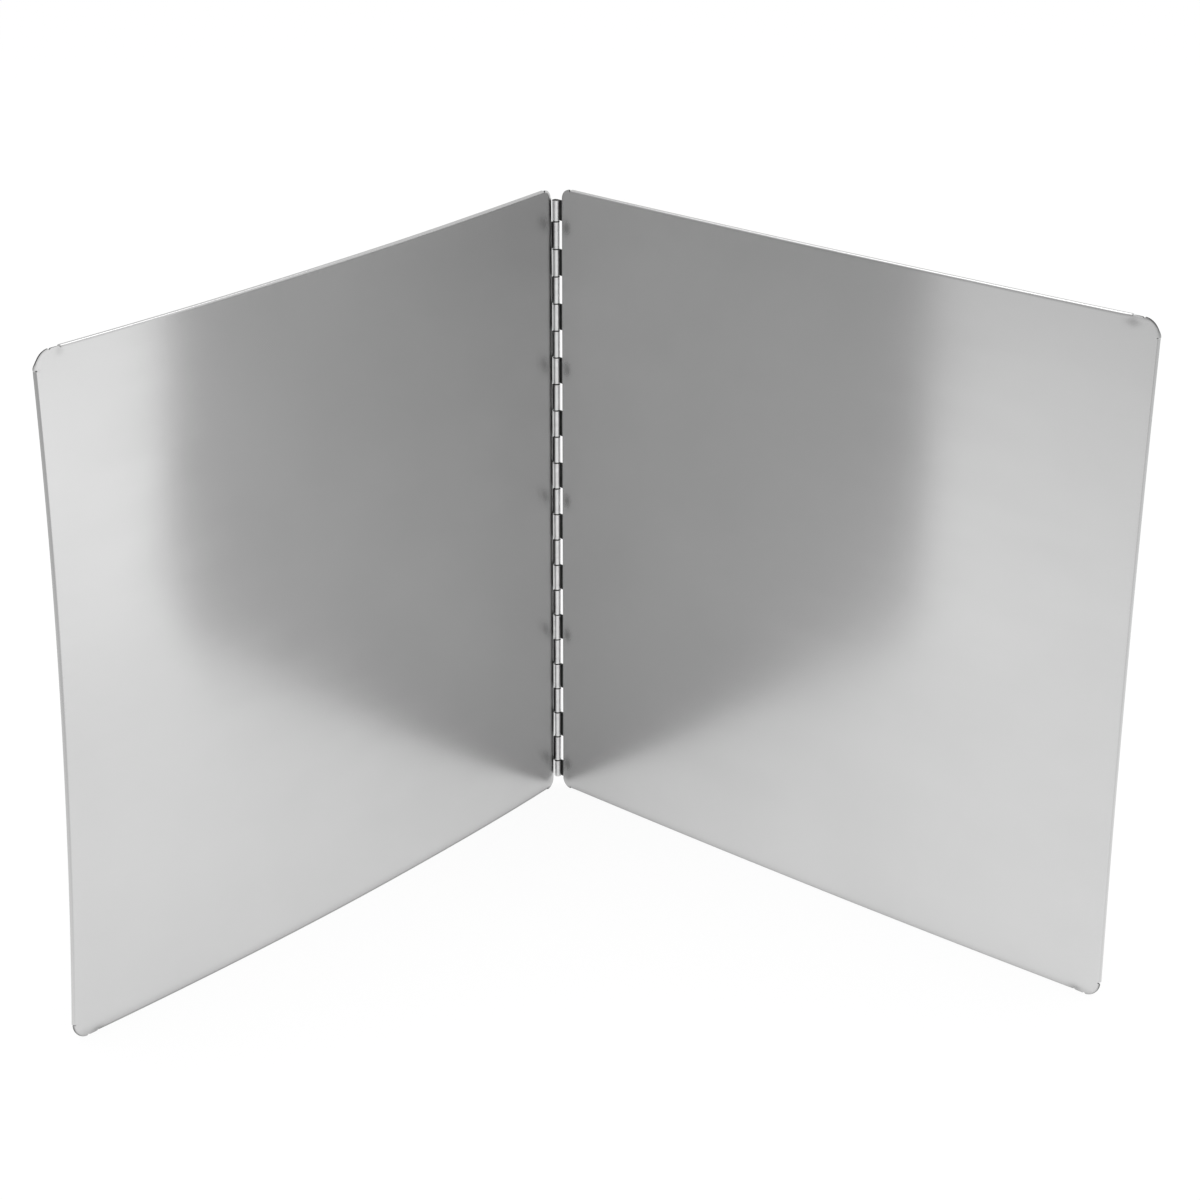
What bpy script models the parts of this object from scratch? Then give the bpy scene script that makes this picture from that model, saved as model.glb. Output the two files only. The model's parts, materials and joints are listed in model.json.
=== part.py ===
"""A folding splash guard of thin stainless sheet, standing open on a worktop.

Two almost square panels, hemmed on three sides, are joined along their fourth side by a
continuous hinge: two rolled leaves, welded to the backs of the panels, that turn on one wire pin.
Metres, +Z up. The guard stands on z = 0 with its open side towards -Y.
"""

import math

import bmesh
import bpy
from mathutils import Matrix, Vector

# Panels
PANEL_WIDTH = 0.301  # from the plain edge beside the hinge to the free edge
PANEL_HEIGHT = 0.295
SHEET = 0.0007
CORNER_RADIUS = 0.007  # of the two corners at the free edge
HINGE_CORNER_RADIUS = 0.0045

# Hems, folded to the back along the bottom, the free edge and the top
HEM_GAP = 0.0008  # open space between the panel and its folded return
HEM_INSIDE_RADIUS = 0.00015
HEM_RETURN = 0.004
HEM_RELIEF = 0.0006  # notch between the end of a hem and the flat corner
LEVEL_HEM_STOP = 0.0055  # from the corner at the free edge to the ends of the two level hems

# Continuous hinge
PIN_RADIUS = 0.00085
PIN_CLEARANCE = 0.00005
PIN_RECESS = 0.0002
LEAF = 0.00065
LEAF_REACH = 0.0125  # from the pin's axis to the leaf's free edge
KNUCKLE_PITCH = 0.0127
BOTTOM_KNUCKLE = 0.0084  # the stock is cut to length through a knuckle at each end
SHORTEST_KNUCKLE = 0.003
KNUCKLE_GAP = 0.0005
SLOT_CLEARANCE = 0.0016  # from the barrel to the floor of the slot beside it
SEAM_GAP = 0.0003  # from the end of the roll to the leaf

# How the panels sit on the hinge
EDGE_TO_PIN = 0.0037
WELD_GAP = 0.0003
BOTTOM_HEM_TO_LEAF = 0.0004
LEAF_TO_TOP_HEM = 0.0019
OPENING = math.radians(83.5)  # between the two leaves, as it stands

# Thin sheet that is hemmed on three sides springs a little out of flat past the leaf. Each
# panel has its own spring, positive towards the inner side: that of the whole free edge, the
# belly at half the height of that edge, and the lead of its top corner over its middle.
FLAT_PAST_LEAF = 0.001
SPRING_EASE = 0.12  # share of the width in which the belly and the twist set in
LEFT_SPRING = {"free_edge": -0.018, "belly": 0.0048, "twist": 0.0039}
RIGHT_SPRING = {"free_edge": -0.0052, "belly": 0.0024, "twist": -0.0025}

# Facets
CORNER_STEPS = 6
BEND_STEPS = 3  # for each of a hem's two quarter bends
ROLL_STEPS = 20
PIN_SIDES = 20
PANEL_COLUMNS = 12
PANEL_ROWS = 12

# Sizes that follow from those above
HEM_THICKNESS = 2 * SHEET + HEM_GAP
HEM_RADIUS = SHEET + HEM_INSIDE_RADIUS
HEM_END = CORNER_RADIUS + HEM_RELIEF
LEVEL_HEM_END = CORNER_RADIUS + LEVEL_HEM_STOP
HEM_END_BY_HINGE = HINGE_CORNER_RADIUS + HEM_RELIEF
FLAT_WIDTH = LEAF_REACH - EDGE_TO_PIN + FLAT_PAST_LEAF
BARREL_RADIUS = PIN_RADIUS + PIN_CLEARANCE + LEAF
SLOT_FLOOR = BARREL_RADIUS + SLOT_CLEARANCE
FACE_FROM_PIN = LEAF + WELD_GAP + SHEET - BARREL_RADIUS
HINGE_FROM_BOTTOM = HEM_RETURN + BOTTOM_HEM_TO_LEAF
HINGE_TOP = PANEL_HEIGHT - HEM_RETURN - LEAF_TO_TOP_HEM
HINGE_LENGTH = HINGE_TOP - HINGE_FROM_BOTTOM

# The inner side of the left half is its own +Y, and that of the right half its own -Y.
LEFT = 1
RIGHT = -1


def clear_scene():
    for old in list(bpy.data.objects):
        bpy.data.objects.remove(old, do_unlink=True)


def new_collection(name):
    collection = bpy.data.collections.new(name)
    bpy.context.scene.collection.children.link(collection)
    return collection


def steel(name, grey, roughness):
    """A bare stainless finish."""
    material = bpy.data.materials.new(name)
    material.use_nodes = True
    shader = material.node_tree.nodes["Principled BSDF"]
    shader.inputs["Base Color"].default_value = (grey, grey, grey, 1)
    shader.inputs["Metallic"].default_value = 1
    shader.inputs["Roughness"].default_value = roughness
    return material


def add_object(name, mesh, collection, parent, location=(0, 0, 0)):
    thing = bpy.data.objects.new(name, mesh)
    collection.objects.link(thing)
    thing.parent = parent
    thing.location = location
    return thing


def skin_mesh(bm, name, outward):
    """A mesh of the open surface, turned so that its first face looks outward."""
    bmesh.ops.recalc_face_normals(bm, faces=bm.faces[:])
    bm.faces.ensure_lookup_table()
    if bm.faces[0].normal.dot(outward) < 0:
        bmesh.ops.reverse_faces(bm, faces=bm.faces[:])
    mesh = bpy.data.meshes.new(name)
    bm.to_mesh(mesh)
    bm.free()
    return mesh


def thicken(thing, thickness):
    """Gives an outer skin its wall, on the side away from its normals."""
    wall = thing.modifiers.new("wall", "SOLIDIFY")
    wall.thickness = thickness
    wall.offset = -1
    wall.use_even_offset = True
    wall.use_quality_normals = True


def push_edge(bm, edge, shift):
    """Draws a flat strip out of an edge and returns the strip's far edge."""
    drawn = bmesh.ops.extrude_edge_only(bm, edges=[edge])["geom"]
    verts = [item for item in drawn if isinstance(item, bmesh.types.BMVert)]
    bmesh.ops.translate(bm, verts=verts, vec=shift)
    return bm.edges.get(verts)


def bend_edge(bm, edge, centre, axis, angle, steps):
    """Rolls a strip out of an edge about an axis and returns the strip's far edge."""
    rolled = bmesh.ops.spin(
        bm, geom=[edge], cent=centre, axis=axis, dvec=(0, 0, 0), angle=angle, steps=steps
    )["geom_last"]
    return bm.edges.get([item for item in rolled if isinstance(item, bmesh.types.BMVert)])


# Panels


def corner_arc(x, z, radius, start):
    """Quarter circle of a flat corner about x, z, counter-clockwise from a start angle."""
    points = []
    for step in range(CORNER_STEPS + 1):
        angle = start + math.pi / 2 * step / CORNER_STEPS
        points.append((x + radius * math.cos(angle), z + radius * math.sin(angle)))
    return points


def panel_outline():
    """The flat face between the fold lines, with its four corners and the relief notches.

    It runs counter-clockwise in x away from the hinge and z up. The three fold lines lie
    HEM_RADIUS inside the outer lines, and the corners reach those lines.
    """
    wide, high = PANEL_WIDTH, PANEL_HEIGHT
    near, far = HINGE_CORNER_RADIUS, wide - CORNER_RADIUS
    low, top = CORNER_RADIUS, high - CORNER_RADIUS
    fold = HEM_RADIUS
    hem_end, notch = wide - LEVEL_HEM_END, wide - LEVEL_HEM_END + HEM_RELIEF
    outline = [(HEM_END_BY_HINGE, fold), (hem_end, fold), (notch, fold), (notch, 0)]
    outline += corner_arc(far, low, CORNER_RADIUS, -math.pi / 2)
    outline += [(wide - fold, low), (wide - fold, HEM_END)]
    outline += [(wide - fold, high - HEM_END), (wide - fold, top)]
    outline += corner_arc(far, top, CORNER_RADIUS, 0)
    outline += [(notch, high), (notch, high - fold), (hem_end, high - fold)]
    outline += [(HEM_END_BY_HINGE, high - fold), (near, high - fold)]
    outline += corner_arc(near, high - near, near, math.pi / 2)
    outline += corner_arc(near, near, near, math.pi)
    outline += [(near, fold)]
    return outline


def fold_lines():
    """The two ends of each fold line, and the way from its outer line into the panel."""
    wide, high, fold = PANEL_WIDTH, PANEL_HEIGHT, HEM_RADIUS
    return [
        ((HEM_END_BY_HINGE, fold), (wide - LEVEL_HEM_END, fold), Vector((0, 0, 1))),
        ((wide - fold, HEM_END), (wide - fold, high - HEM_END), Vector((-1, 0, 0))),
        ((wide - LEVEL_HEM_END, high - fold), (HEM_END_BY_HINGE, high - fold), Vector((0, 0, -1))),
    ]


def fold_hem(bm, edge, inward, back):
    """Folds the sheet to the back beyond an edge: a quarter bend, a flat, a bend, the return."""
    axis = back.cross(inward)
    start = edge.verts[0].co.copy()
    edge = bend_edge(bm, edge, start + back * HEM_RADIUS, axis, math.pi / 2, BEND_STEPS)
    edge = push_edge(bm, edge, back * (HEM_THICKNESS - 2 * HEM_RADIUS))
    centre = start + back * (HEM_THICKNESS - HEM_RADIUS)
    edge = bend_edge(bm, edge, centre, axis, math.pi / 2, BEND_STEPS)
    push_edge(bm, edge, inward * (HEM_RETURN - HEM_RADIUS))


def cut_across(bm, place, direction):
    """Adds a row of points across the whole sheet, so that it can spring there."""
    everything = bm.verts[:] + bm.edges[:] + bm.faces[:]
    bmesh.ops.bisect_plane(bm, geom=everything, plane_co=place, plane_no=direction)


def spring_at(spring, x, z):
    """How far the sheet stands towards its inner side, nothing where it lies on the leaf."""
    across = min(max((x - FLAT_WIDTH) / (PANEL_WIDTH - FLAT_WIDTH), 0), 1)
    up = z / PANEL_HEIGHT
    eased = across**2 * (1 + SPRING_EASE) / (across + SPRING_EASE)
    belly = spring["belly"] * 4 * up * (1 - up)
    twist = spring["twist"] * (2 * up - 1)
    return spring["free_edge"] * across**2 + (belly + twist) * eased


def make_panel(name, side, spring, half, collection):
    """One panel: its face, the three hems, and the spring of the sheet."""
    back = Vector((0, -side, 0))
    bm = bmesh.new()
    verts = {}
    for x, z in panel_outline():
        spot = (round(x, 7), round(z, 7))
        if spot not in verts:
            verts[spot] = bm.verts.new((x, 0, z))
    bm.faces.new(verts.values())
    for start, end, inward in fold_lines():
        ends = [verts[round(x, 7), round(z, 7)] for x, z in (start, end)]
        fold_hem(bm, bm.edges.get(ends), inward, back)
    columns = PANEL_WIDTH - LEVEL_HEM_END - FLAT_WIDTH
    for column in range(PANEL_COLUMNS):
        cut_across(bm, (FLAT_WIDTH + columns * column / PANEL_COLUMNS, 0, 0), (1, 0, 0))
    rows = PANEL_HEIGHT - 2 * HEM_END
    for row in range(1, PANEL_ROWS):
        cut_across(bm, (0, 0, HEM_END + rows * row / PANEL_ROWS), (0, 0, 1))
    for vert in bm.verts:
        vert.co.y += side * spring_at(spring, vert.co.x, vert.co.z)
    bmesh.ops.remove_doubles(bm, verts=bm.verts[:], dist=1e-6)
    mesh = skin_mesh(bm, name, -back)
    panel = add_object(name, mesh, collection, half, (EDGE_TO_PIN, side * FACE_FROM_PIN, 0))
    thicken(panel, SHEET)
    return panel


# Hinge


def knuckle_tops():
    """Heights at which one knuckle ends and the next begins, from the bottom up."""
    tops = [HINGE_FROM_BOTTOM + BOTTOM_KNUCKLE]
    while tops[-1] + KNUCKLE_PITCH + SHORTEST_KNUCKLE < HINGE_TOP:
        tops.append(tops[-1] + KNUCKLE_PITCH)
    return tops


def make_slots(name, first, half, collection):
    """The cutter for one leaf's slots: a box for every second knuckle from a given one up.

    The boxes of the lowest and the highest knuckle run on past the ends of the leaf.
    """
    tops = knuckle_tops()
    floors = [HINGE_FROM_BOTTOM - KNUCKLE_PITCH, *tops]
    ceilings = [*tops, HINGE_TOP + KNUCKLE_PITCH]
    deep = SLOT_FLOOR + 2 * BARREL_RADIUS
    bm = bmesh.new()
    for knuckle in range(first, len(floors), 2):
        low, high = floors[knuckle], ceilings[knuckle]
        middle = Vector((SLOT_FLOOR - deep / 2, 0, (low + high) / 2))
        size = (deep, 4 * BARREL_RADIUS, high - low + KNUCKLE_GAP, 1)
        bmesh.ops.create_cube(bm, size=1, matrix=Matrix.Translation(middle) @ Matrix.Diagonal(size))
    mesh = bpy.data.meshes.new(name)
    bm.to_mesh(mesh)
    bm.free()
    slots = add_object(name, mesh, collection, half)
    slots.hide_render = True
    slots.display_type = "WIRE"
    return slots


def make_leaf(name, side, slots, half, collection):
    """One leaf: a flat strip, its edge rolled to the inner side about the pin, then slotted.

    The skin is the outer one: the back of the strip and the outside of the barrel. The roll
    ends SEAM_GAP short of the strip.
    """
    back = Vector((0, -side, 0))
    seam = math.asin(1 - (LEAF + SEAM_GAP) / BARREL_RADIUS)
    sweep = 1.5 * math.pi + seam
    bm = bmesh.new()
    heights = (HINGE_FROM_BOTTOM, HINGE_TOP)
    ends = [bm.verts.new((LEAF_REACH, -side * BARREL_RADIUS, height)) for height in heights]
    edge = push_edge(bm, bm.edges.new(ends), (SLOT_FLOOR - LEAF_REACH, 0, 0))
    edge = push_edge(bm, edge, (-SLOT_FLOOR, 0, 0))
    bend_edge(bm, edge, (0, 0, 0), (0, 0, -side), sweep, ROLL_STEPS)
    leaf = add_object(name, skin_mesh(bm, name, back), collection, half)
    leaf.data.shade_smooth()
    thicken(leaf, LEAF)
    cut = leaf.modifiers.new("slots", "BOOLEAN")
    cut.object = slots
    return leaf


def make_pin(name, half, collection):
    """The wire pin, its ends just inside the barrel."""
    length = HINGE_LENGTH - 2 * PIN_RECESS
    bm = bmesh.new()
    bmesh.ops.create_cone(
        bm, cap_ends=True, segments=PIN_SIDES, radius1=PIN_RADIUS, radius2=PIN_RADIUS, depth=length
    )
    mesh = bpy.data.meshes.new(name)
    bm.to_mesh(mesh)
    bm.free()
    mesh.shade_smooth()
    mesh.set_sharp_from_angle(angle=math.radians(40))
    middle = HINGE_FROM_BOTTOM + HINGE_LENGTH / 2
    return add_object(name, mesh, collection, half, (0, 0, middle))


# Assembly


def stand_over_origin(pin_axis, parts):
    """Moves the guard so that the middle of its footprint is at the origin."""
    bpy.context.view_layer.update()
    graph = bpy.context.evaluated_depsgraph_get()
    spots = []
    for thing in parts:
        solid = thing.evaluated_get(graph)
        spots += [solid.matrix_world @ vert.co for vert in solid.data.vertices]
    for axis in (0, 1):
        along = [spot[axis] for spot in spots]
        pin_axis.location[axis] = -(min(along) + max(along)) / 2
    print("pin axis at x, y =", round(pin_axis.location.x, 6), round(pin_axis.location.y, 6))


def build():
    clear_scene()
    guard = new_collection("folding_splash_guard")
    cutters = new_collection("cutters")
    satin = steel("satin_sheet", 0.60, 0.28)
    rolled = steel("rolled_hinge_stock", 0.66, 0.22)
    wire = steel("drawn_wire", 0.5, 0.3)

    pin_axis = add_object("pin_axis", None, guard, None)
    left_half = add_object("left_half", None, guard, pin_axis)
    right_half = add_object("right_half", None, guard, pin_axis)
    left_half.rotation_euler.z = -math.pi / 2 - OPENING / 2
    right_half.rotation_euler.z = -math.pi / 2 + OPENING / 2

    left_panel = make_panel("left_panel", LEFT, LEFT_SPRING, left_half, guard)
    right_panel = make_panel("right_panel", RIGHT, RIGHT_SPRING, right_half, guard)

    # The right leaf has the bottom knuckle, and the two leaves take turns from there up.
    left_slots = make_slots("left_leaf_slots", 0, left_half, cutters)
    right_slots = make_slots("right_leaf_slots", 1, right_half, cutters)
    left_leaf = make_leaf("left_hinge_leaf", LEFT, left_slots, left_half, guard)
    right_leaf = make_leaf("right_hinge_leaf", RIGHT, right_slots, right_half, guard)
    hinge_pin = make_pin("hinge_pin", right_half, guard)

    for panel in (left_panel, right_panel):
        panel.data.materials.append(satin)
    for leaf in (left_leaf, right_leaf):
        leaf.data.materials.append(rolled)
    hinge_pin.data.materials.append(wire)
    stand_over_origin(pin_axis, (left_panel, right_panel))


build()
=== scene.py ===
"""The looks of a folding splash guard of satin stainless sheet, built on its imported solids."""

import json
import math

import bmesh
import bpy
import numpy as np
from mathutils import Matrix, Vector


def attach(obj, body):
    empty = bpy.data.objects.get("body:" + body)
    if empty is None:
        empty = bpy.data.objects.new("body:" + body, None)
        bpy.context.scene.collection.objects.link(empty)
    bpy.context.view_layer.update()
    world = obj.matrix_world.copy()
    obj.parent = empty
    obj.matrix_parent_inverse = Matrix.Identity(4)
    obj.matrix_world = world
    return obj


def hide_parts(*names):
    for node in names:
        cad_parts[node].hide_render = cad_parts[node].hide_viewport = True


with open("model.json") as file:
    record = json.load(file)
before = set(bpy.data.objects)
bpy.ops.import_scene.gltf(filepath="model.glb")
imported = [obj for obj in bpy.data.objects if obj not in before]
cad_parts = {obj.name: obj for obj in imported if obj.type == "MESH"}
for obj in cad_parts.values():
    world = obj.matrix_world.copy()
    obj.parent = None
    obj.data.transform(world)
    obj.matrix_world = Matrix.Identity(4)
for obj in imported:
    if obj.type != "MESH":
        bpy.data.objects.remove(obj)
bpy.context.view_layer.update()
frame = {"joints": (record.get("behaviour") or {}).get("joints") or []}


# The two panels.
# Each is one sheet of satin stainless with three of its sides folded to the back as hems. The
# corners are left flat and cut round, and the side by the hinge is left plain.

PANEL_WIDTH = 0.301
PANEL_HEIGHT = 0.295
SHEET = 0.0007
EDGE_BREAK = 0.00012
CORNER_RADIUS = 0.007
HINGE_CORNER_RADIUS = 0.0045

# A hem's fold, its thickness over both sheets, and how far it comes back in.
HEM_RADIUS = 0.00085
HEM_THICKNESS = 0.0022
HEM_RETURN = 0.004

# How far from the corners the hems end: the upright one, the level ones and the notches beside
# them, and the level ones on the side of the hinge.
HEM_END = 0.0076
LEVEL_HEM_END = 0.0125
LEVEL_NOTCH_END = 0.0119
HEM_END_BY_HINGE = 0.0051

# How the sheet lies to the pin, and the width that the welds hold flat.
PLAIN_EDGE_TO_PIN = 0.0037
FACE_FROM_PIN = 0.0001
WELDED_WIDTH = 0.0098
SPRUNG_WIDTH = PANEL_WIDTH - WELDED_WIDTH
pin_axis = np.array(frame["joints"][0]["pos_m"])

# The two halves, and the angle that each one stands at, from the x axis.
LEFT = 1
RIGHT = -1
OPENING = math.radians(83.5)
TURN = {side: -math.pi / 2 - side * OPENING / 2 for side in (LEFT, RIGHT)}

# How each sheet has sprung and waved, in metres.
SPRING = {
    LEFT: {"free_edge": -0.018, "belly": 0.0048, "twist": 0.0039},
    RIGHT: {"free_edge": -0.0052, "belly": 0.0024, "twist": -0.0025},
}
WAVES = {LEFT: {"phase": 0.4, "bulge": 0.001}, RIGHT: {"phase": 1.7, "bulge": 0}}

# Spots on the sheet, out from its plain edge and up: the welds, the last stretch of the level
# hems, the bare ends of the hems, and the upper corner by the hinge.
WELD_SPOTS = [(0.0028, height) for height in (0.0125, 0.08, 0.1475, 0.2115, 0.2775)]
LOWER_HEM_SPOT = (PANEL_WIDTH - 0.0115, 0.0012)
UPPER_HEM_SPOT = (PANEL_WIDTH - 0.0115, PANEL_HEIGHT - 0.0015)
LEVEL_END_OUT = PANEL_WIDTH - 0.0122
BARE_ENDS = [
    (LEVEL_END_OUT, 0.0004),
    (LEVEL_END_OUT, PANEL_HEIGHT - 0.0004),
    (PANEL_WIDTH - 0.0004, PANEL_HEIGHT - 0.0073),
]
HINGE_CORNER_SPOT = (0.0015, PANEL_HEIGHT - 0.0015)

# How dark the sheets are marked: with heat tint at the welds, and with painted shade at the foot
# up to a height and on the rims of the free corners, with each corner's height, its darkest angle
# and its strength.
WELD_MARK = {LEFT: 0.04, RIGHT: 0.6}
FOOT_SHADE = {LEFT: (0.0009, 0.45), RIGHT: (0.0005, 0.35)}
RIM_SHADES = {
    LEFT: [(0, 20, 1.5), (PANEL_HEIGHT, 45, 0.6)],
    RIGHT: [(0, 25, 1.0), (PANEL_HEIGHT, 60, 1.3)],
}

# How deep the sheets are dented where they are welded, and where the level hems end.
WELD_DENT = 0.00005
HEM_DENT = {LEFT: 0.00008, RIGHT: 0.00022}

# Points closer than this are one point, and edges sharper than this are broken.
SAME_POINT = 2e-6
SHARP_EDGE = math.radians(50)


def stand_half(points, side):
    """A half's own x, y and z, measured from the pin, turned to where that half stands.

    x runs out along the half and y is square to it. Both turn about the pin by a quarter turn
    back and half of the opening, and then move to the pin's place.
    """
    cos, sin = math.cos(TURN[side]), math.sin(TURN[side])
    x, y, z = points.T
    return np.stack([cos * x - sin * y, sin * x + cos * y, z], axis=1) + pin_axis


def inner_side(side):
    """The direction that the inner face of a half looks in, as it stands."""
    return Vector((-side * math.sin(TURN[side]), side * math.cos(TURN[side]), 0))


def places(*runs):
    """Places along a line: each run gives its start, its end and its number of equal steps."""
    steps = [np.linspace(start, end, count + 1) for start, end, count in runs]
    return np.unique(np.round(np.concatenate(steps), 8))


def grid_quads(rows, columns, first=0):
    """The quads of a grid of points that are numbered row by row from a first number."""
    corner = first + np.arange(rows - 1)[:, None] * columns + np.arange(columns - 1)[None, :]
    return np.stack([corner, corner + 1, corner + columns + 1, corner + columns], axis=-1)


def skin_object(name, points, quads, faces_to=None):
    """A piece from points and quads: equal points are joined, and the faces point outward.

    A skin that isn't closed has no outside of its own. Its widest face is then turned to look
    in a direction that is given, and the others with it.
    """
    mesh = bpy.data.meshes.new(name)
    mesh.from_pydata(points.tolist(), [], quads.tolist())
    skin = bmesh.new()
    skin.from_mesh(mesh)
    bmesh.ops.remove_doubles(skin, verts=skin.verts[:], dist=SAME_POINT)
    unused = [vert for vert in skin.verts if not vert.link_faces]
    bmesh.ops.delete(skin, geom=unused, context="VERTS")
    bmesh.ops.recalc_face_normals(skin, faces=skin.faces[:])
    if faces_to is not None:
        widest = max(skin.faces, key=lambda face: face.calc_area())
        if widest.normal.dot(faces_to) < 0:
            bmesh.ops.reverse_faces(skin, faces=skin.faces[:])
    skin.to_mesh(mesh)
    skin.free()
    mesh.shade_smooth()
    thing = bpy.data.objects.new(name, mesh)
    bpy.context.scene.collection.objects.link(thing)
    return thing


def add_wall(thing, thickness, edge_break, inside=0):
    """Gives a skin its wall on the side away from its normals, and breaks the sharp edges.

    The edges take the skin's second material. The wall's other face takes the material that is
    so many places after the first.
    """
    wall = thing.modifiers.new("wall", "SOLIDIFY")
    wall.thickness = thickness
    wall.offset = -1
    wall.use_even_offset = True
    wall.use_quality_normals = True
    wall.material_offset_rim = 1
    wall.material_offset = inside
    edges = thing.modifiers.new("broken_edges", "BEVEL")
    edges.width = edge_break
    edges.segments = 2
    edges.limit_method = "ANGLE"
    edges.angle_limit = SHARP_EDGE
    edges.harden_normals = True
    edges.material = 1


def rounded_corners(x, z):
    """Draws the square corners of the flat sheet in to quarter circles.

    Inside a corner's square, each of the two distances from the square's inner sides is
    shortened by the square root of one less half the other's square, as shares of the radius.
    """
    across = x - PANEL_WIDTH / 2
    up = z - PANEL_HEIGHT / 2
    radius = np.where(across < 0, HINGE_CORNER_RADIUS, CORNER_RADIUS)
    half_flat = PANEL_WIDTH / 2 - radius
    half_tall = PANEL_HEIGHT / 2 - radius
    a = np.clip(np.abs(across) - half_flat, 0, None) / radius
    b = np.clip(np.abs(up) - half_tall, 0, None) / radius
    new_a = a * np.sqrt(1 - b**2 / 2)
    new_b = b * np.sqrt(1 - a**2 / 2)
    new_across = np.where(a > 0, np.sign(across) * (half_flat + new_a * radius), across)
    new_up = np.where(b > 0, np.sign(up) * (half_tall + new_b * radius), up)
    return new_across + PANEL_WIDTH / 2, new_up + PANEL_HEIGHT / 2


def arched_stretch(x, z):
    """Draws in the flat edge between a free corner and a hem, least in the stretch's middle.

    The edge comes in by the least amount and by the eighth power of the distance from the
    middle, as a share of half the stretch, times the amount more at the ends. The points below
    follow in proportion down to the fold line.
    """
    least, more_at_ends, within = 0.00012, 0.0005, 1.001
    middle = PANEL_WIDTH - (LEVEL_NOTCH_END + CORNER_RADIUS) / 2
    half = (LEVEL_NOTCH_END - CORNER_RADIUS) / 2
    share = (x - middle) / half
    drop = np.where(np.abs(share) < within, least + more_at_ends * share**8, 0)
    height = z - PANEL_HEIGHT / 2
    reach = np.clip((np.abs(height) - PANEL_HEIGHT / 2 + HEM_RADIUS) / HEM_RADIUS, 0, 1)
    return z - np.sign(height) * drop * reach


def hem_profile():
    """A hem's outside as (distance in from the outer line, depth behind the face) pairs.

    A quarter circle outward and back, a short flat, a quarter circle inward, and the return.
    """
    fold_steps, return_steps = 8, 5
    quarter = np.linspace(0, math.pi / 2, fold_steps + 1)
    first = np.stack([1 - np.sin(quarter), 1 - np.cos(quarter)], axis=1) * HEM_RADIUS
    second = np.stack([1 - np.cos(quarter), np.sin(quarter)], axis=1) * HEM_RADIUS
    second[:, 1] += HEM_THICKNESS - HEM_RADIUS
    inward = np.linspace(HEM_RADIUS, HEM_RETURN, return_steps + 1)[1:]
    back = np.stack([inward, np.full_like(inward, HEM_THICKNESS)], axis=1)
    return np.concatenate([first, second, back])


def hem_patch(along, side_of_sheet):
    """The hem's profile carried along one side of the sheet, as x, depth and z."""
    inward, depth = hem_profile().T
    place = np.repeat(along, len(depth))
    inward = np.tile(inward, len(along))
    depth = np.tile(depth, len(along))
    if side_of_sheet == "bottom":
        return np.stack([place, depth, inward], axis=1)
    if side_of_sheet == "top":
        return np.stack([place, depth, PANEL_HEIGHT - inward], axis=1)
    return np.stack([PANEL_WIDTH - inward, depth, place], axis=1)


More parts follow.
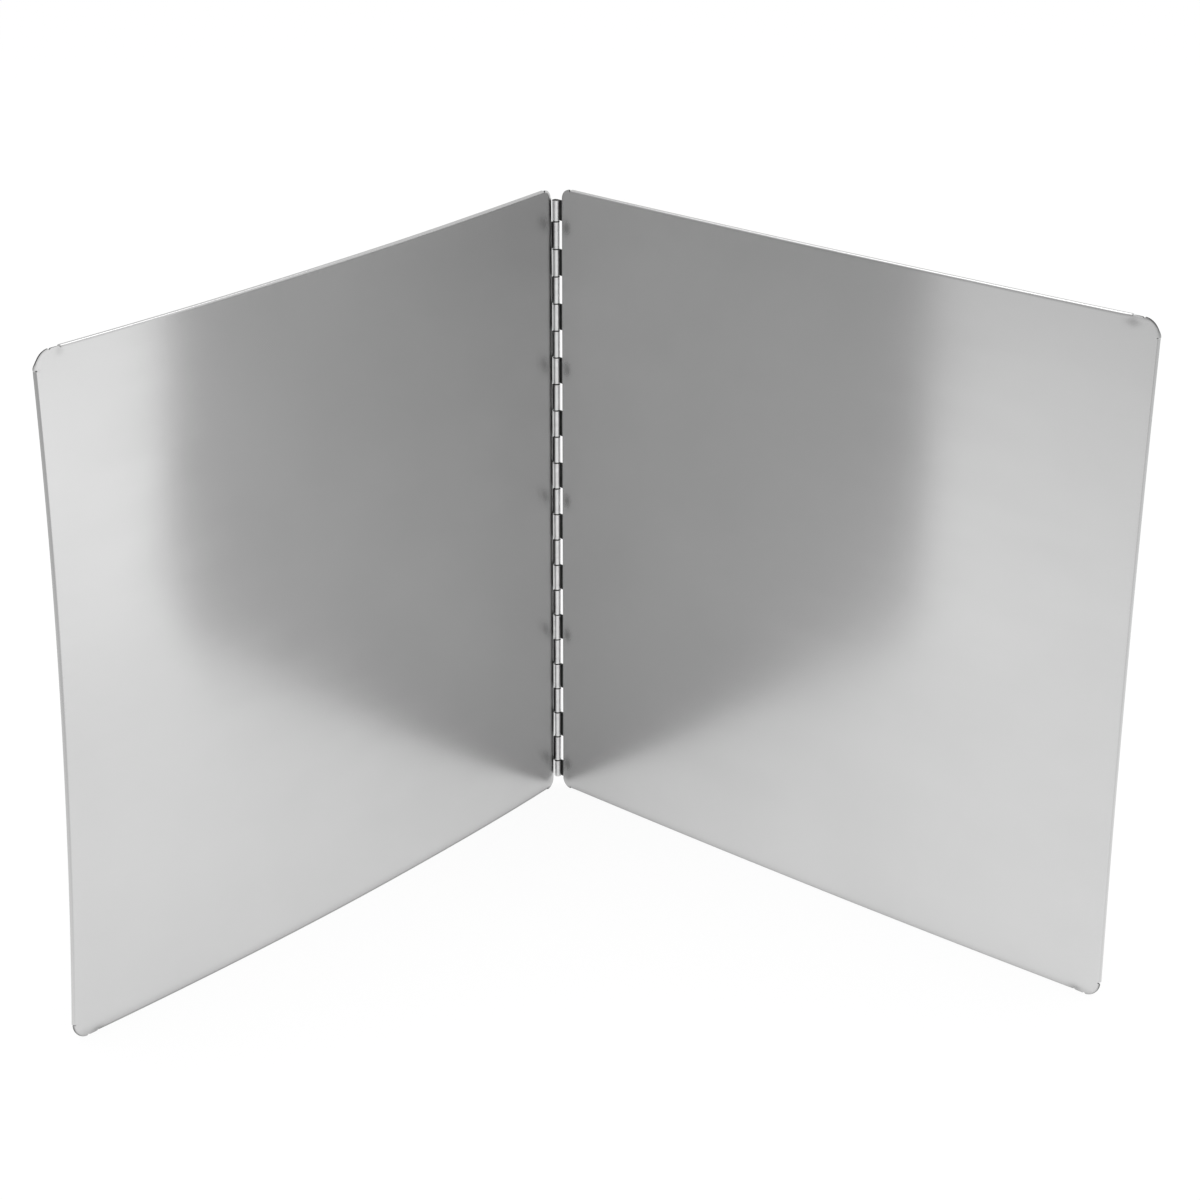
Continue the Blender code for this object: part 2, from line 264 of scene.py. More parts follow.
def plan_of_panel():
    """A panel before it springs, as points of x, depth behind the face and z, and as quads.

    The flat is a grid that is finer towards its edges and leaves out the cells that the hems
    take the place of. The hems are three more grids.
    """
    hinge_zone, edge_zone = 0.015, 0.02
    xs = places(
        (0, HINGE_CORNER_RADIUS, 9),
        (HINGE_CORNER_RADIUS, HEM_END_BY_HINGE, 1),
        (HEM_END_BY_HINGE, hinge_zone, 16),
        (hinge_zone, PANEL_WIDTH - edge_zone, 96),
        (PANEL_WIDTH - edge_zone, PANEL_WIDTH - LEVEL_HEM_END, 14),
        (PANEL_WIDTH - LEVEL_HEM_END, PANEL_WIDTH - LEVEL_NOTCH_END, 1),
        (PANEL_WIDTH - LEVEL_NOTCH_END, PANEL_WIDTH - HEM_END, 9),
        (PANEL_WIDTH - HEM_END, PANEL_WIDTH - CORNER_RADIUS, 1),
        (PANEL_WIDTH - CORNER_RADIUS, PANEL_WIDTH - HEM_RADIUS, 7),
        (PANEL_WIDTH - HEM_RADIUS, PANEL_WIDTH, 1),
    )
    zs = places(
        (0, HEM_RADIUS, 1),
        (HEM_RADIUS, HINGE_CORNER_RADIUS, 7),
        (HINGE_CORNER_RADIUS, CORNER_RADIUS, 4),
        (CORNER_RADIUS, HEM_END, 1),
        (HEM_END, edge_zone, 14),
        (edge_zone, PANEL_HEIGHT - edge_zone, 120),
        (PANEL_HEIGHT - edge_zone, PANEL_HEIGHT - HEM_END, 14),
        (PANEL_HEIGHT - HEM_END, PANEL_HEIGHT - CORNER_RADIUS, 1),
        (PANEL_HEIGHT - CORNER_RADIUS, PANEL_HEIGHT - HINGE_CORNER_RADIUS, 4),
        (PANEL_HEIGHT - HINGE_CORNER_RADIUS, PANEL_HEIGHT - HEM_RADIUS, 7),
        (PANEL_HEIGHT - HEM_RADIUS, PANEL_HEIGHT, 1),
    )
    grid_z, grid_x = np.meshgrid(zs, xs, indexing="ij")
    face_x, face_z = rounded_corners(grid_x.ravel(), grid_z.ravel())
    face_z = arched_stretch(face_x, face_z)
    patches = [np.stack([face_x, np.zeros_like(face_x), face_z], axis=1)]

    cell_x = ((xs[1:] + xs[:-1]) / 2)[None, :]
    cell_z = ((zs[1:] + zs[:-1]) / 2)[:, None]
    beyond_fold = (cell_z < HEM_RADIUS) | (cell_z > PANEL_HEIGHT - HEM_RADIUS)
    between_corners = (cell_x > HINGE_CORNER_RADIUS) & (cell_x < PANEL_WIDTH - LEVEL_NOTCH_END)
    level_hem = beyond_fold & between_corners
    tall = (cell_z > CORNER_RADIUS) & (cell_z < PANEL_HEIGHT - CORNER_RADIUS)
    upright_hem = (cell_x > PANEL_WIDTH - HEM_RADIUS) & tall
    quads = [grid_quads(len(zs), len(xs))[~(level_hem | upright_hem)]]

    slack = 1e-7
    level = xs[(xs > HEM_END_BY_HINGE - slack) & (xs < PANEL_WIDTH - LEVEL_HEM_END + slack)]
    upright = zs[(zs > HEM_END - slack) & (zs < PANEL_HEIGHT - HEM_END + slack)]
    count = len(face_x)
    for side_of_sheet, along in (("bottom", level), ("top", level), ("free edge", upright)):
        patch = hem_patch(along, side_of_sheet)
        quads.append(grid_quads(len(along), len(patch) // len(along), count).reshape(-1, 4))
        patches.append(patch)
        count += len(patch)
    return np.concatenate(patches), np.concatenate(quads)


def spring_of_sheet(x, z, free_edge, belly, twist):
    """How far the sheet has sprung to its inner side, by its share of the width past the weld.

    The free edge's own spring grows with the square of that share. The belly, a parabola over
    the height, and the twist, a straight line over it, grow with an eased square.
    """
    ease = 0.12
    share = np.clip((x - WELDED_WIDTH) / SPRUNG_WIDTH, 0, 1)
    up = z / PANEL_HEIGHT
    eased = share**2 * (1 + ease) / (share + ease)
    return free_edge * share**2 + (belly * 4 * up * (1 - up) + twist * (2 * up - 1)) * eased


def slow_waves(x, z, phase, bulge):
    """The slight waves of rolled sheet, and a shallow bow between the weld and the free edge.

    Each wave is a product of two sines, times its height, and fades out at the welded side. The
    bow is a parabola over the width past the weld, and the bulge adds to it by a parabola over
    the height.
    """
    fade, bow_depth = 0.06, 0.00075
    long_out, long_up, long_height = 0.021, 0.028, 0.00007
    short_out, short_up, short_height = 0.011, 0.0135, 0.000018
    share = np.clip((x - WELDED_WIDTH) / fade, 0, 1)
    long = np.sin(x / long_out + phase) * np.sin(z / long_up + 2 * phase)
    short = np.sin(x / short_out + 3 * phase) * np.sin(z / short_up + phase)
    along = np.clip((x - WELDED_WIDTH) / SPRUNG_WIDTH, 0, 1)
    up = z / PANEL_HEIGHT
    bow = (bow_depth + bulge * 4 * up * (1 - up)) * 4 * along * (1 - along)
    return share**2 * (long_height * long + short_height * short) + bow


def bell(distance, width):
    """A bell curve of a distance: 1 at none, and 0.61 at the width."""
    return np.exp(-((distance / width) ** 2) / 2)


def pulled_corners(x, z, side):
    """How far the sheet was pulled off its plan by cutting and folding: outward and to the back.

    Both free top corners stand proud beside the hem. On the left the free corners bend back by
    the square of the distance past a line a little way in, the rim of the hinge corner is rolled
    back, and the edge by the hinge is fuller than at its ends, by a sine wave with its top cut
    flat.
    """
    proud, foot_back, top_back, rolled_back, fuller_by = 0.0007, 0.0009, 0.0005, 0.00035, 0.0005
    bent_strip, foot_zone, rolled_strip, fuller_strip = 0.003, 0.004, 0.0012, 0.03
    below_top, reach, flat_cut = 0.0065, 0.0016, 2.5
    beside_notch = HEM_END - 1e-5
    near_edge = np.clip((x - PANEL_WIDTH + bent_strip) / bent_strip, 0, 1) ** 2
    from_top = PANEL_HEIGHT - z
    beside_hem = bell(from_top - below_top, reach) * (from_top < beside_notch)
    outward = proud * near_edge * beside_hem
    if side == RIGHT:
        return outward, np.zeros_like(x)
    fuller = np.clip(flat_cut * np.sin(math.pi * z / PANEL_HEIGHT), 0, 1)
    outward -= fuller_by * fuller * np.clip(1 - x / fuller_strip, 0, 1) ** 2
    backward = foot_back * near_edge * np.clip(z / foot_zone, 0, 1) * (z < beside_notch)
    backward += top_back * near_edge * beside_hem
    in_corner = np.clip([HINGE_CORNER_RADIUS - x, HINGE_CORNER_RADIUS - from_top], 0, None)
    from_rim = HINGE_CORNER_RADIUS - np.hypot(*in_corner)
    rolled = np.clip(1 - from_rim / rolled_strip, 0, 1) ** 2 * (from_top < HINGE_CORNER_RADIUS)
    return outward, backward + rolled_back * rolled * (x < HINGE_CORNER_RADIUS)


def spots(x, z, centres, strength, wide, tall):
    """Oval spots: the strength times a bell curve of the distance to each centre, added up."""
    total = np.zeros_like(x)
    for centre_x, centre_z in centres:
        away = ((x - centre_x) / wide) ** 2 + ((z - centre_z) / tall) ** 2
        total += strength * np.exp(-away / 2)
    return total


def painted_rim_shade(out, up, side):
    """How dark the painted shade is on the rims of the round free corners, where their rounded
    edges look dark.

    It is a bell curve of the distance from the rim and one of the angle round the corner, for
    each corner with its own darkest angle and strength.
    """
    rim, spread_of_angle = 0.0003, 30
    total = np.zeros_like(out)
    across = out - PANEL_WIDTH + CORNER_RADIUS
    for height, angle, strength in RIM_SHADES[side]:
        below = CORNER_RADIUS - np.abs(up - height)
        in_corner = (across > 0) & (below > 0)
        from_rim = CORNER_RADIUS - np.hypot(across, below)
        turned = (np.degrees(np.arctan2(below, across)) - angle) / spread_of_angle
        total += in_corner * strength * np.exp(-((from_rim / rim) ** 2) / 2 - turned**2 / 2)
    return total


def darkness(out, up, side):
    """How dark a sheet is at a place, out from its plain edge and up: heat tint and painted shade.

    The welds are spots of heat tint, and the ends of the level hems are spots of painted shade.
    The folded free edge darkens towards its top, and the foot is evenly dark, both painted shade.
    The right sheet also has a soft line of painted shade below the fold at the top, which sets in
    between 60 and 260 mm out, and faint painted shade by the hinge.
    """
    total = spots(out, up, WELD_SPOTS, WELD_MARK[side], wide=0.0015, tall=0.0022)
    # Painted shade at the ends of the level hems, where they are dented.
    total += spots(out, up, [LOWER_HEM_SPOT], 0.45, wide=0.0018, tall=0.0007)
    total += spots(out, up, [UPPER_HEM_SPOT], 0.2, wide=0.0012, tall=0.0012)
    # Painted shade along the folded free edge, darker towards its top.
    edge_strip, edge_at_foot, edge_more_at_top = 0.0004, 0.15, 0.45
    on_edge = out > PANEL_WIDTH - edge_strip
    total += (edge_at_foot + edge_more_at_top * (up / PANEL_HEIGHT)) * on_edge
    # Painted shade along the foot, up to a height.
    foot_height, foot_strength = FOOT_SHADE[side]
    total += foot_strength * (up < foot_height) * (out < LEVEL_END_OUT)
    # Painted shade on the rims of the free corners.
    total += painted_rim_shade(out, up, side)
    if side == RIGHT:
        # Painted shade on the right sheet: a line below the top fold and a faint band by the
        # hinge.
        line, line_width, hinge_shade, hinge_shade_width = 0.25, 0.0003, 0.1, 0.025
        below_fold = up - PANEL_HEIGHT + HEM_RADIUS
        sets_in = np.clip(out / 0.2 - 0.3, 0, 1)
        total += line * bell(below_fold, line_width) * sets_in
        total += hinge_shade * bell(out, hinge_shade_width)
    return total


def painted_edge_highlights(out, up):
    """Painted highlights on the cut edge: the ends of the hems, the plain edge and its corner."""
    plain_edge, plain_edge_strip = 0.2, 0.0005
    # Painted highlights at the hem ends and the hinge corner, and along the plain edge.
    total = spots(out, up, BARE_ENDS, 1, wide=0.0016, tall=0.0016)
    corner = spots(out, up, [HINGE_CORNER_SPOT], 0.6, wide=0.0015, tall=0.0015)
    return total + (plain_edge * (out < plain_edge_strip) + corner)


def mark_sheet(mesh, side):
    """Stores with a standing sheet where each of its points is on the flat sheet, and its marks.

    The place is kept for each face corner, in metres out from the pin and up. The darkness, of
    heat tint and painted shade, and the painted highlights of the edges are kept for each point.
    """
    points = np.empty(len(mesh.vertices) * 3, np.float32)
    mesh.vertices.foreach_get("co", points)
    points = points.reshape(-1, 3) - pin_axis
    from_pin = points[:, 0] * math.cos(TURN[side]) + points[:, 1] * math.sin(TURN[side])
    out, up = from_pin - PLAIN_EDGE_TO_PIN, points[:, 2]
    for name, values in (
        ("weld_tint_and_painted_shade", darkness(out, up, side)),
        ("edge_painted_highlight", painted_edge_highlights(out, up)),
    ):
        stored = mesh.attributes.new(name, "FLOAT", "POINT")
        stored.data.foreach_set("value", values.astype(np.float32))
    vertex = np.empty(len(mesh.loops), np.int32)
    mesh.loops.foreach_get("vertex_index", vertex)
    layer = mesh.uv_layers.new(name="flat_sheet")
    layer.data.foreach_set("uv", np.stack([from_pin[vertex], up[vertex]], axis=1).ravel())


def feed(node, inputs):
    """Fills the named inputs of a node, each with a value or from an output of another node."""
    for name, value in inputs.items():
        if isinstance(value, bpy.types.NodeSocket):
            node.id_data.links.new(value, node.inputs[name])
        else:
            node.inputs[name].default_value = value


def own_place(tree):
    """A point's place on its piece, in metres."""
    return tree.nodes.new("ShaderNodeTexCoord").outputs["Object"]


def noise(tree, frequency, detail=2):
    """Cloudy noise over a piece, with how often it repeats in a metre along x, y and z."""
    mapping = tree.nodes.new("ShaderNodeMapping")
    feed(mapping, {"Vector": own_place(tree), "Scale": frequency})
    pattern = tree.nodes.new("ShaderNodeTexNoise")
    feed(pattern, {"Vector": mapping.outputs["Vector"], "Scale": 1, "Detail": detail})
    return pattern.outputs["Fac"]


def split_place(place):
    """The outputs X, Y and Z of a place."""
    split = place.id_data.nodes.new("ShaderNodeSeparateXYZ")
    feed(split, {"Vector": place})
    return split.outputs


def stored_value(tree, name):
    """A value that is stored for each point of a piece."""
    attribute = tree.nodes.new("ShaderNodeAttribute")
    attribute.attribute_name = name
    return attribute.outputs["Fac"]


def spread(value, low, high, start=0, end=1, course="LINEAR"):
    """Carries a value over from one range, start to end, to another, and stays within it."""
    ranged = value.id_data.nodes.new("ShaderNodeMapRange")
    ranged.interpolation_type = course
    limits = {"From Min": start, "From Max": end, "To Min": low, "To Max": high}
    feed(ranged, {"Value": value, **limits})
    return ranged.outputs["Result"]


def combine(kind, first, second):
    """Two values added, multiplied, or the second one subtracted."""
    both = first.id_data.nodes.new("ShaderNodeMath")
    both.operation = kind
    feed(both, {0: first, 1: second})
    return both.outputs["Value"]


def grey_by(value, dark, light, start=0, end=1):
    """A grey that goes from a dark to a light one while a value goes from start to end."""
    tone = value.id_data.nodes.new("ShaderNodeValToRGB")
    for stop, place, grey in zip(tone.color_ramp.elements, (start, end), (dark, light)):
        stop.position = place
        stop.color = (grey, grey, grey, 1)
    feed(tone, {"Fac": value})
    return tone.outputs["Color"]


def relief(value, strength, height):
    """Fine bumps by a value, with their height in metres and the strength of their effect."""
    bump = value.id_data.nodes.new("ShaderNodeBump")
    feed(bump, {"Height": value, "Strength": strength, "Distance": height})
    return bump.outputs["Normal"]


def new_material(name, metallic):
    """A new material, its nodes and its shader, which is bare metal or no metal."""
    material = bpy.data.materials.new(name)
    material.use_nodes = True
    shader = material.node_tree.nodes["Principled BSDF"]
    feed(shader, {"Metallic": metallic})
    return material, material.node_tree, shader


def satin_sheet():
    """Satin stainless: a fine level grain, faint cloudy handling marks and a few small pits.

    It is painted a little darker towards the hinge, as shade in the corner between the panels.
    """
    material, tree, shader = new_material("satin_sheet", metallic=1)
    grain = noise(tree, (14, 14, 2600), 3)
    clouds = noise(tree, (16, 16, 22), 3)
    smears = noise(tree, (9, 9, 60), 2)
    mark = stored_value(tree, "weld_tint_and_painted_shade")
    most_noise = (0.3, 0.7)

    grain_tone = spread(grain, 0.516, 0.524, *most_noise)
    grey = combine("ADD", grain_tone, spread(clouds, -0.008, 0.008, *most_noise))
    # Darker by the stored weld tint and painted shade.
    grey = combine("SUBTRACT", grey, spread(mark, 0, 0.45, 0, 1.5))
    flat_place = tree.nodes.new("ShaderNodeUVMap")
    flat_place.uv_map = "flat_sheet"
    from_pin = split_place(flat_place.outputs["UV"])["X"]
    # Painted shade: darker towards the hinge, in the corner between the panels.
    grey = combine("SUBTRACT", grey, spread(from_pin, 0.028, 0, 0.04, 0.15))
    colour = tree.nodes.new("ShaderNodeCombineColor")
    feed(colour, {"Red": grey, "Green": grey, "Blue": grey})

    grain_roughness = spread(grain, 0.205, 0.22, *most_noise)
    rough = combine("ADD", grain_roughness, spread(smears, -0.012, 0.012, *most_noise))
    rough = combine("ADD", rough, spread(mark, 0, 0.15))

    pits = tree.nodes.new("ShaderNodeTexVoronoi")
    feed(pits, {"Vector": own_place(tree), "Scale": 46, "Randomness": 1})
    pit = spread(pits.outputs["Distance"], -1, 0, 0.012, 0.03)
    height = combine("ADD", spread(grain, 0, 0.06, *most_noise), pit)

    along = tree.nodes.new("ShaderNodeTangent")
    along.direction_type = "UV_MAP"
    along.uv_map = "flat_sheet"
    looks = {
        "Base Color": colour.outputs["Color"],
        "Roughness": rough,
        "Normal": relief(height, 0.15, 0.00003),
        "Anisotropic": 0.7,
        "Anisotropic Rotation": 0.25,
        "Tangent": along.outputs["Tangent"],
    }
    feed(shader, looks)
    return material


def sheared_edge_and_shade():
    """The cut edge of the sheet: rough, with short marks, and dark, partly its own grey and partly
    painted shade along the thin rims, with painted highlights in places.
    """
    material, tree, shader = new_material("sheared_edge_and_shade", metallic=1)
    marks = noise(tree, (2200, 2200, 2200))
    colour_a, colour_b, colour_out = 6, 7, 2
    brighter = tree.nodes.new("ShaderNodeMix")
    brighter.data_type = "RGBA"
    highlight_share = stored_value(tree, "edge_painted_highlight")
    # Painted shade: a near-black grey, lifted towards mid grey by the stored painted highlights.
    feed(brighter, {"Factor": highlight_share, colour_a: grey_by(marks, 0.03, 0.1)})
    feed(brighter, {colour_b: (0.5, 0.5, 0.5, 1)})
    looks = {
        "Base Color": brighter.outputs[colour_out],
        "Roughness": spread(marks, 0.35, 0.6),
        "Normal": relief(marks, 0.3, 0.00002),
    }
    feed(shader, looks)
    return material


satin = satin_sheet()
cut_edge = sheared_edge_and_shade()
plan_points, panel_quads = plan_of_panel()


def make_panel(name, side, body, node):
    """One panel: the plan with its dents, springs, waves and pulled corners, stood in its place.

    The dents press the face and fade out round the fold of the hems.
    """
    x, depth, z = plan_points.T
    outward, backward = pulled_corners(x, z, side)
    hem_spots = [LOWER_HEM_SPOT, UPPER_HEM_SPOT]
    pressed = spots(x, z, WELD_SPOTS, WELD_DENT, wide=0.0013, tall=0.0013)
    pressed += spots(x, z, hem_spots, HEM_DENT[side], wide=0.0022, tall=0.0015)
    depth = depth + pressed * np.clip(1 - depth / HEM_RADIUS, 0, 1) + backward
    sprung = spring_of_sheet(x, z, **SPRING[side])
    inner = FACE_FROM_PIN + sprung + slow_waves(x, z, **WAVES[side]) - depth
    own = np.stack([x + outward + PLAIN_EDGE_TO_PIN, side * inner, z], axis=1)
    panel = skin_object(name, stand_half(own, side), panel_quads, inner_side(side))
    mark_sheet(panel.data, side)
    panel.data.materials.append(satin)
    panel.data.materials.append(cut_edge)
    add_wall(panel, SHEET, EDGE_BREAK)
    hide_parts(node)
    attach(panel, body)


make_panel("left_sheet", LEFT, "left_side", "left_panel")
make_panel("right_sheet", RIGHT, "right_side", "right_panel")


# The two hinge leaves.
# Stock continuous hinge of bright rolled strip. Each leaf's edge is slotted and rolled into
# knuckles round the pin, and its flat is spot-welded to the back of its panel.

LEAF = 0.00065
LEAF_EDGE_BREAK = 0.00006
LEAF_REACH = 0.0125
SLOT_FLOOR = 0.00315

# The barrel starts from the flat with its own radius and widens to the roll's, over an angle in
# radians. Its end comes this far short of the flat.
BARREL_RADIUS = 0.00155
ROLL_RADIUS = 0.00175
WIDENING_ANGLE = 1.2
SEAM_GAP = 0.0003
ROLL_STEPS = 60

# All the knuckles are alike but the lowest and the highest, which are cut off.
HINGE_BOTTOM = 0.0044
FIRST_KNUCKLE_TOP = 0.0128
HINGE_TOP = 0.2891
SHORTEST_KNUCKLE = 0.003
KNUCKLE_PITCH = 0.0127
KNUCKLE_GAP = 0.0005
cuts = np.arange(FIRST_KNUCKLE_TOP, HINGE_TOP - SHORTEST_KNUCKLE, KNUCKLE_PITCH)
knuckle_tops = np.append(cuts, HINGE_TOP)
knuckle_bottoms = np.append(HINGE_BOTTOM, cuts)


def rolled_stock():
    """Bright rolled strip: faint lines along its length, and soft cloudiness."""
    material, tree, shader = new_material("rolled_hinge_stock", metallic=1)
    lines = noise(tree, (2400, 2400, 60), 3)
    clouds = noise(tree, (320, 320, 320), 2)
    looks = {
        "Base Color": grey_by(clouds, 0.6, 0.7, 0.25, 0.65),
        "Roughness": spread(lines, 0.36, 0.56),
        "Normal": relief(lines, 0.25, 0.00002),
    }
    feed(shader, looks)
    return material


def painted_shade_inside():
    """The strip's inner side, painted near black as the shade inside the barrel and the narrow
    gaps, with soft patches.
    """
    material, tree, shader = new_material("painted_shade_inside", metallic=1)
    soil = noise(tree, (500, 500, 500), 3)
    looks = {
        # Painted shade: the near-black grey of the inner side.
        "Base Color": grey_by(soil, 0.03, 0.12),
        "Roughness": spread(soil, 0.4, 0.65),
        "Normal": relief(soil, 0.3, 0.00003),
    }
    feed(shader, looks)
    return material


strip_metal = rolled_stock()
strip_painted_shade = painted_shade_inside()


def leaf_profile(side):
    """The outside of a leaf, from its free edge, along its back and once round the barrel.

    The flat lies a barrel's radius behind the pin. The roll widens by the square of a sine over
    its first part, and then goes round by a circle, three quarters of a turn and on, until its
    end comes a small gap short of the flat.
    """
    seam = math.asin((BARREL_RADIUS - LEAF - SEAM_GAP) / ROLL_RADIUS)
    flat = places((0, SLOT_FLOOR, 4), (SLOT_FLOOR, LEAF_REACH, 8))[::-1]
    round_the_pin = np.linspace(0, 1.5 * math.pi + seam, ROLL_STEPS + 1)[1:]
    widening = np.sin(np.clip(round_the_pin / WIDENING_ANGLE, 0, 1) * math.pi / 2) ** 2
    radius = BARREL_RADIUS + (ROLL_RADIUS - BARREL_RADIUS) * widening
    x = np.concatenate([flat, -radius * np.sin(round_the_pin)])
    back = np.concatenate([np.full_like(flat, BARREL_RADIUS), radius * np.cos(round_the_pin)])
    return np.stack([x, -side * back], axis=1)


def make_leaf(name, side, first, body, node):
    """One leaf: its profile carried up the hinge, with every second knuckle left out.

    The first knuckle it keeps is number 0 or 1 from the bottom. Half of the gap between two
    knuckles is taken from each, but not from the hinge's own ends. Two more rows of points
    stand in each knuckle, a third and two thirds of a pitch up.
    """
    profile = leaf_profile(side)
    half_gap = KNUCKLE_GAP / 2
    edges = np.concatenate([knuckle_bottoms + half_gap, knuckle_tops - half_gap])
    thirds = [knuckle_bottoms + KNUCKLE_PITCH / 3, knuckle_bottoms + KNUCKLE_PITCH * 2 / 3]
    zs = np.concatenate([[HINGE_BOTTOM, HINGE_TOP], edges[1:], *thirds])
    zs = np.unique(np.round(zs[(zs >= HINGE_BOTTOM) & (zs <= HINGE_TOP)], 8))
    z, number = np.meshgrid(zs, np.arange(len(profile)), indexing="ij")
    number = number.ravel()
    own = np.stack([profile[number, 0], profile[number, 1], z.ravel()], axis=1)

    cell_z = (zs[1:] + zs[:-1]) / 2
    knuckle = np.searchsorted(knuckle_tops, cell_z)
    last = len(knuckle_tops) - 1
    clear = (cell_z > knuckle_bottoms[knuckle] + half_gap) | (knuckle == 0)
    clear &= (cell_z < knuckle_tops[knuckle] - half_gap) | (knuckle == last)
    rolled = (knuckle % 2 == first) & clear
    flat = (profile[1:, 0] + profile[:-1, 0]) / 2 > SLOT_FLOOR
    quads = grid_quads(len(zs), len(profile))[rolled[:, None] | flat[None, :]]

    leaf = skin_object(name, stand_half(own, side), quads, -inner_side(side))
    leaf.data.materials.append(strip_metal)
    leaf.data.materials.append(cut_edge)
    leaf.data.materials.append(strip_painted_shade)
    add_wall(leaf, LEAF, LEAF_EDGE_BREAK, inside=2)
    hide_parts(node)
    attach(leaf, body)


make_leaf("left_rolled_leaf", LEFT, 1, "left_side", "left_hinge_leaf")
make_leaf("right_rolled_leaf", RIGHT, 0, "right_side", "right_hinge_leaf")


# The pin.
# One length of drawn stainless wire through all the knuckles, its ends cut and slightly
# rounded and held just inside the outermost knuckles.

PIN_RADIUS = 0.00085
PIN_RECESS = 0.0002
PIN_ROUNDING = 0.0002
ROUNDING_STEPS = 4
STEPS_ROUND_PIN = 48


def drawn_wire():
    """Drawn wire: fine lines along it and slightly uneven brightness, painted dark as the shade
    inside the knuckles where it shows through the gaps.
    """
    material, tree, shader = new_material("drawn_wire", metallic=1)
    lines = noise(tree, (3000, 3000, 90))
    looks = {
        # Painted shade: the dark grey of the wire.
        "Base Color": grey_by(lines, 0.08, 0.2),
        "Roughness": spread(lines, 0.2, 0.4),
        "Normal": relief(lines, 0.2, 0.00002),
    }
    feed(shader, looks)
    return material


def make_pin():
    """The wire: a profile of radius and height, with rounded ends, turned about the axis."""
    low, high = HINGE_BOTTOM + PIN_RECESS, HINGE_TOP - PIN_RECESS
    curve = np.linspace(0, math.pi / 2, ROUNDING_STEPS + 1)
    end_r = PIN_RADIUS - PIN_ROUNDING + PIN_ROUNDING * np.sin(curve)
    end_z = PIN_ROUNDING * (1 - np.cos(curve))
    radius = np.concatenate([[0], end_r, end_r[::-1], [0]])
    height = np.concatenate([[low], low + end_z, high - end_z[::-1], [high]])
    angle = np.linspace(0, 2 * math.pi, STEPS_ROUND_PIN + 1)
    x = radius[:, None] * np.cos(angle)[None, :] + pin_axis[0]
    y = radius[:, None] * np.sin(angle)[None, :] + pin_axis[1]
    z = np.repeat(height[:, None], len(angle), axis=1)
    points = np.stack([x, y, z], axis=-1).reshape(-1, 3)
    pin = skin_object("wire_pin", points, grid_quads(len(radius), len(angle)).reshape(-1, 4))
    pin.data.materials.append(drawn_wire())
    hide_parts("hinge_pin")
    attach(pin, "right_side")


make_pin()


# The place it stands in.
# A pale tabletop under one large soft lamp, in a bright room that is dimmer round the horizon
# on the left.

TABLE_LEFT, TABLE_RIGHT, TABLE_FRONT, TABLE_BACK = -1.8, 1.8, -1.6, 2.6

# How bright the tabletop glows in a reflection, painted light, the sum of these rows. Each is
# an axis, where a change along it starts and ends, and what the row gives before and after it.
TABLE_BRIGHTNESS = (
    ("X", -1.2, -0.2, 1.36, 1.48),
    ("X", 0, 0.6, 0, 0.28),
    ("Y", -0.4, 0.03, -0.37, 0),
    ("Y", 0.1, 0.25, 0, -0.9),
    ("Y", -0.1, -0.02, 0, -0.1),
)

# What two parts of it give besides, near on the right and far in front: each is the product of
# two such rows.
BRIGHTER_PARTS = (
    (("X", 0.02, 0.18, 0, 0.2), ("Y", -0.3, -0.12, 1, 0)),
    (("X", -0.3, 0.1, 0, 0.22), ("Y", -0.8, -0.5, 1, 0)),
)

# By how much its glow is darker where the guard stands on it, a painted shadow, and within what
# distance.
CONTACT_SHADE = 0.62
CONTACT_DISTANCE = 0.005

# How much of what the camera sees is plain white, without the shadow, and how much of what the
# metal mirrors is that brightness.
WHITE_SEEN = 0.92
BRIGHTNESS_MIRRORED = 0.62

LAMP_PLACE = Vector((0, 0.1, 1.5))
LAMP_TARGET = Vector((0, 0, 0))


def soft_step(value, start, end, low, high):
    """Goes smoothly from a low value to a high one while another goes from start to end."""
    return spread(value, low, high, start, end, "SMOOTHSTEP")


def brightness_of_table(tree):
    """The brightness by the tables above, with a painted shadow near whatever stands on the
    tabletop.
    """
    place = split_place(own_place(tree))

    def row(axis, start, end, low, high):
        return soft_step(place[axis], start, end, low, high)

    terms = [row(*each) for each in TABLE_BRIGHTNESS]
    terms += [combine("MULTIPLY", row(*first), row(*second)) for first, second in BRIGHTER_PARTS]
    total = terms[0]
    for term in terms[1:]:
        total = combine("ADD", total, term)
    contact = tree.nodes.new("ShaderNodeAmbientOcclusion")
    contact.samples = 4
    feed(contact, {"Distance": CONTACT_DISTANCE})
    shade = soft_step(contact.outputs["AO"], 0.5, 1, CONTACT_SHADE, 1)
    return combine("MULTIPLY", total, shade)


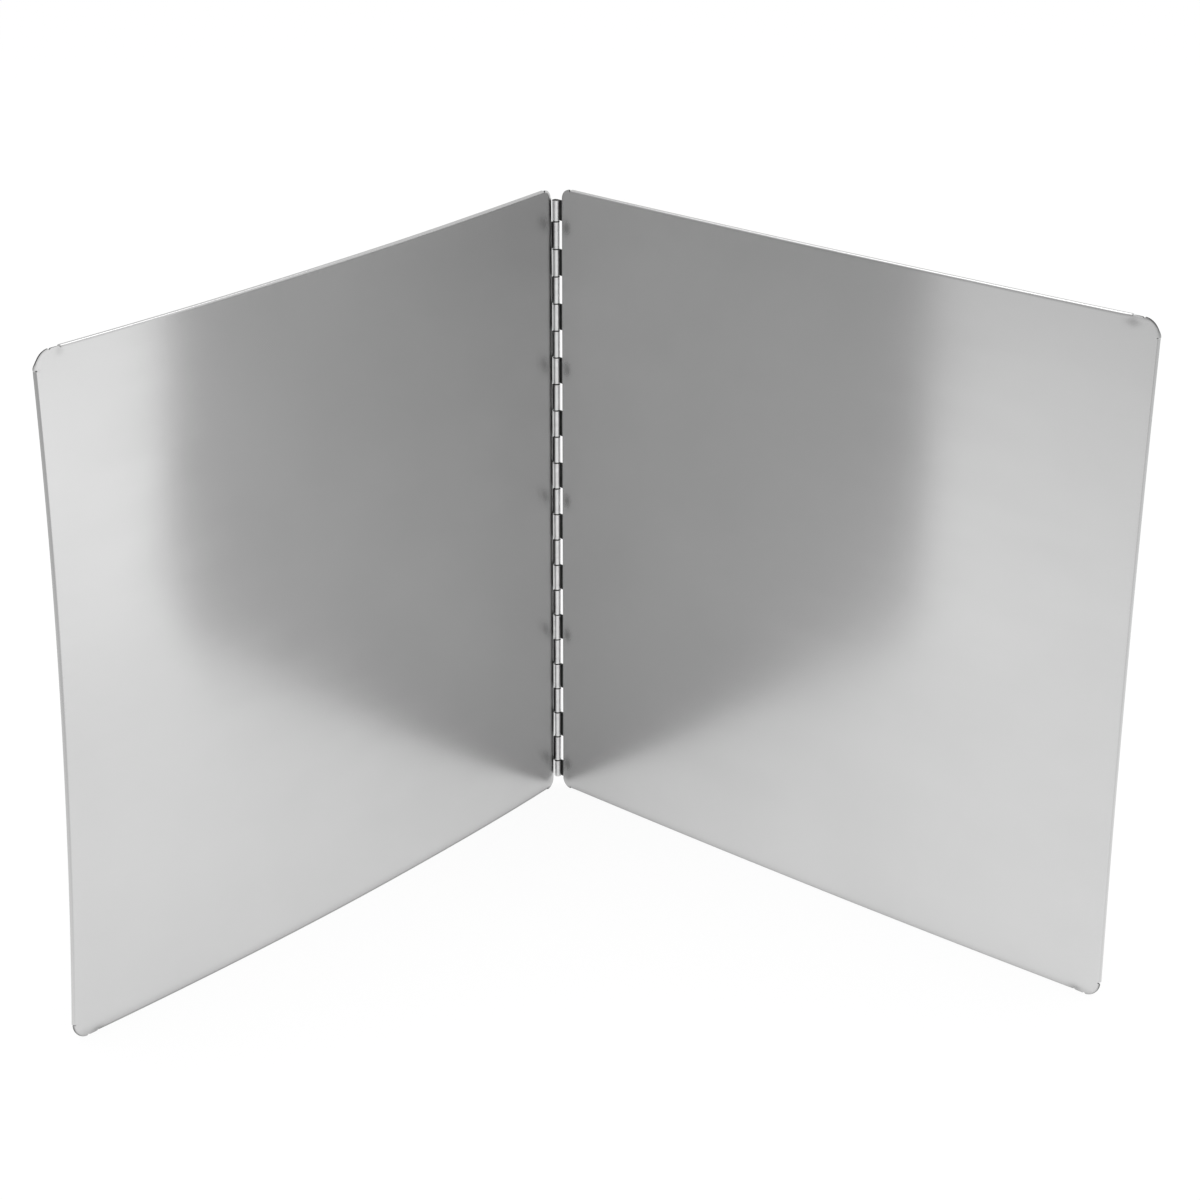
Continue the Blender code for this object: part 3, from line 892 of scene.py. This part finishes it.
def tabletop():
    """A flat pale matt top, nearly white to the camera, and as bright as told above in metal.

    Its own matt surface takes the lamp's light and the guard's shadow. A glow is mixed with it,
    of strength 1 to the camera and of the tabletop's brightness in a reflection.
    """
    mesh = bpy.data.meshes.new("tabletop")
    front = [(TABLE_LEFT, TABLE_FRONT, 0), (TABLE_RIGHT, TABLE_FRONT, 0)]
    behind = [(TABLE_RIGHT, TABLE_BACK, 0), (TABLE_LEFT, TABLE_BACK, 0)]
    mesh.from_pydata(front + behind, [], [(0, 1, 2, 3)])
    top = bpy.data.objects.new("tabletop", mesh)
    bpy.context.scene.collection.objects.link(top)
    material, tree, shader = new_material("pale_tabletop", metallic=0)
    mottle = noise(tree, (4, 4, 4))
    pale = {"Base Color": grey_by(mottle, 0.93, 0.95), "Roughness": 0.9, "Specular IOR Level": 0}
    feed(shader, pale)

    ray = tree.nodes.new("ShaderNodeLightPath").outputs
    mirrored = combine("MULTIPLY", brightness_of_table(tree), ray["Is Glossy Ray"])
    glow = tree.nodes.new("ShaderNodeEmission")
    feed(glow, {"Strength": combine("ADD", mirrored, ray["Is Camera Ray"])})
    share_seen = soft_step(ray["Is Camera Ray"], 0, 1, 0, WHITE_SEEN)
    share_mirrored = soft_step(ray["Is Glossy Ray"], 0, 1, 0, BRIGHTNESS_MIRRORED)
    mix = tree.nodes.new("ShaderNodeMixShader")
    feed(mix, {"Fac": combine("ADD", share_seen, share_mirrored)})
    feed(mix, {1: shader.outputs["BSDF"], 2: glow.outputs["Emission"]})
    feed(tree.nodes["Material Output"], {"Surface": mix.outputs["Shader"]})
    mesh.materials.append(material)


def mixed(share, first, second):
    """A value between two others, by a share of the second. Each may be a number."""
    mix = share.id_data.nodes.new("ShaderNodeMix")
    mix.data_type = "FLOAT"
    feed(mix, {"Factor": share, "A": first, "B": second})
    return mix.outputs["Result"]


def room():
    """White to the camera. To the metal it is dimmer round the horizon on the left."""
    world = bpy.data.worlds.new("studio")
    bpy.context.scene.world = world
    world.use_nodes = True
    tree = world.node_tree
    direction = split_place(tree.nodes.new("ShaderNodeTexCoord").outputs["Generated"])
    horizon = soft_step(direction["X"], -0.4, 0.6, 0.6, 1.15)
    overhead = soft_step(direction["Z"], 0.3, 0.9, 0.9, 1.1)
    strength = mixed(soft_step(direction["Z"], 0.15, 0.5, 0, 1), horizon, overhead)
    ray = tree.nodes.new("ShaderNodeLightPath").outputs
    seen = mixed(ray["Is Camera Ray"], strength, 1)
    feed(tree.nodes["Background"], {"Strength": seen, "Color": (1, 1, 1, 1)})


def overhead_lamp():
    """A square soft lamp above the guard that faces it."""
    lamp = bpy.data.lights.new("overhead_lamp", "AREA")
    lamp.shape = "SQUARE"
    lamp.size = 1.4
    lamp.energy = 11.5
    holder = bpy.data.objects.new("overhead_lamp", lamp)
    bpy.context.scene.collection.objects.link(holder)
    holder.location = LAMP_PLACE
    holder.rotation_euler = (LAMP_TARGET - LAMP_PLACE).to_track_quat("-Z", "Y").to_euler()


tabletop()
room()
overhead_lamp()


# The camera.
# It stands in front of the open side, a little to the left, and looks down on the guard.

SENSOR = 36
FOCAL_LENGTH = 84.925
PIN_TO_CAMERA = Vector((-0.121, -1.2231, 0.6135))
YAW, DOWN, ROLL = math.radians(-6.589), math.radians(22.83), math.radians(0.169)

camera_data = bpy.data.cameras.new("camera")
camera_data.sensor_width = SENSOR
camera_data.lens = FOCAL_LENGTH
camera_data.clip_start = 0.01
camera = bpy.data.objects.new("camera", camera_data)
bpy.context.scene.collection.objects.link(camera)
turned = Matrix.Rotation(YAW, 4, "Z") @ Matrix.Rotation(math.pi / 2 - DOWN, 4, "X")
turned = turned @ Matrix.Rotation(ROLL, 4, "Z")
camera.matrix_world = Matrix.Translation(Vector(pin_axis) + PIN_TO_CAMERA) @ turned
bpy.context.scene.camera = camera
bpy.context.scene.view_settings.view_transform = "Standard"
